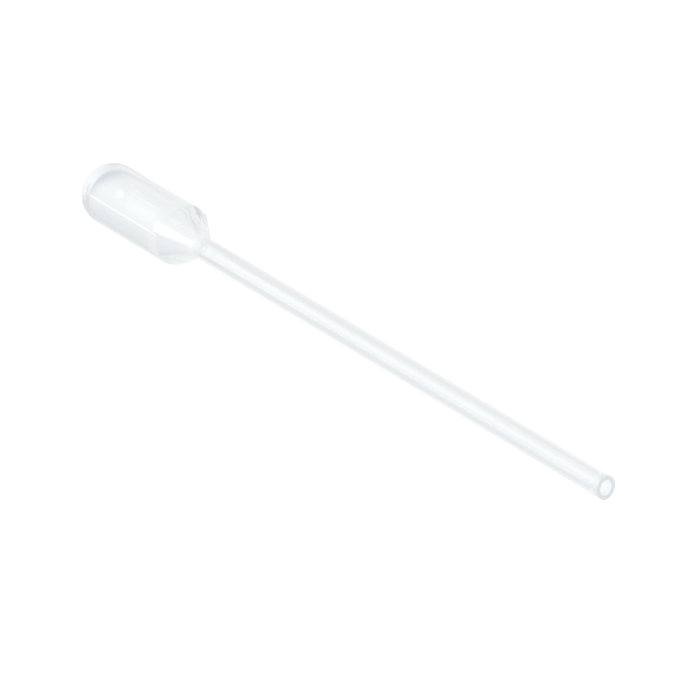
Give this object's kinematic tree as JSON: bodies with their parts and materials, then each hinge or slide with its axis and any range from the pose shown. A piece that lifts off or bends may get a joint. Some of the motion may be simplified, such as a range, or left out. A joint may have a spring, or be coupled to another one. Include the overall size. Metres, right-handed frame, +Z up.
{
  "type": "plastic dropper pipette",
  "caption": "One-piece squeeze-bulb transfer pipette of soft translucent plastic: a domed hollow bulb, a sloping shoulder and a long straight open stem.",
  "frame": {"origin": "bottom centre of the box of the pipette as it lies at rest, on the surface that it lies on", "axes": "+Z up; +X along the pipette from the bulb to the tip, in plan; the webs at the shoulder point along +Y and -Y"},
  "size_m": [0.1522, 0.012, 0.0127],
  "materials": {
    "soft_polyethylene": "thin natural low-density polyethylene, milky-clear and glossy, with a faint cool tint"
  },
  "bodies": {
    "root": {"pipette": "soft_polyethylene"}
  },
  "joints": []
}
